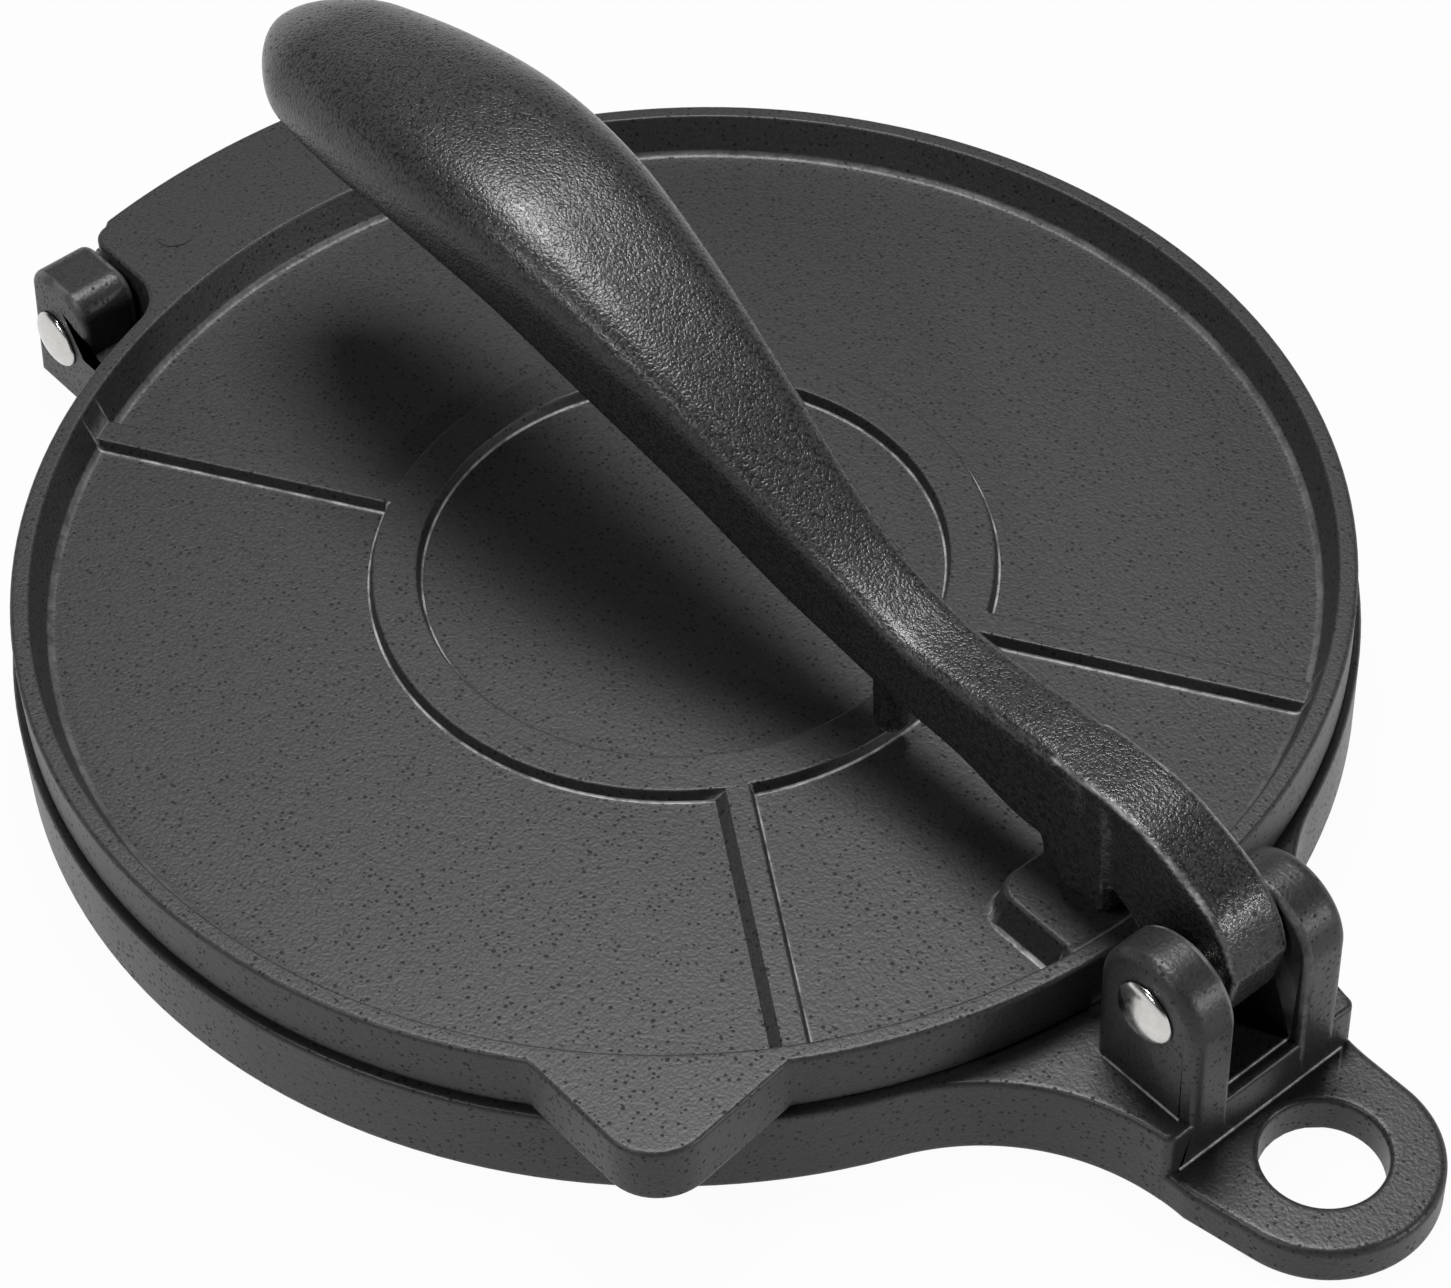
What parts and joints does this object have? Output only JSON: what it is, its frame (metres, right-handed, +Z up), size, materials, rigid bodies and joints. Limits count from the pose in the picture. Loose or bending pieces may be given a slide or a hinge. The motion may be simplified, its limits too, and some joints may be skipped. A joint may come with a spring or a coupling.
{
  "type": "tortilla press",
  "caption": "Round hand press: hinged press plate on a base disc, pushed down by a curved lever with a cam; hanging tab with a hole at the front.",
  "frame": {"origin": "middle of the whole press's box in plan, on the surface that it stands on", "axes": "+X along the press towards the hanging tab, +Y to the left seen from the hinge, +Z up"},
  "size_m": [0.2248, 0.168, 0.0672],
  "materials": {
    "coated_casting": "charcoal black powder coat on die-cast aluminium, satin, fine orange peel",
    "nickel_pin": "bright nickel-plated steel, domed heads"
  },
  "bodies": {
    "base": {"base": "coated_casting", "handle_pin": "nickel_pin", "hinge_pin": "nickel_pin"},
    "press_plate": {"press_plate": "coated_casting"},
    "handle": {"handle": "coated_casting"}
  },
  "joints": [
    {"name": "handle_pivot", "type": "hinge", "parent": "base", "child": "handle", "pos_m": [0.08185, 0, 0.0256], "axis": [0, 1, 0], "range_deg": [0, 150]},
    {"name": "plate_hinge", "type": "hinge", "parent": "base", "child": "press_plate", "pos_m": [-0.10555, 0, 0.0103], "axis": [0, -1, 0], "range_deg": [0, 105]}
  ],
  "couplings": [
    {"joint": "plate_hinge", "follows": "handle_pivot", "ratio": 0.09}
  ]
}
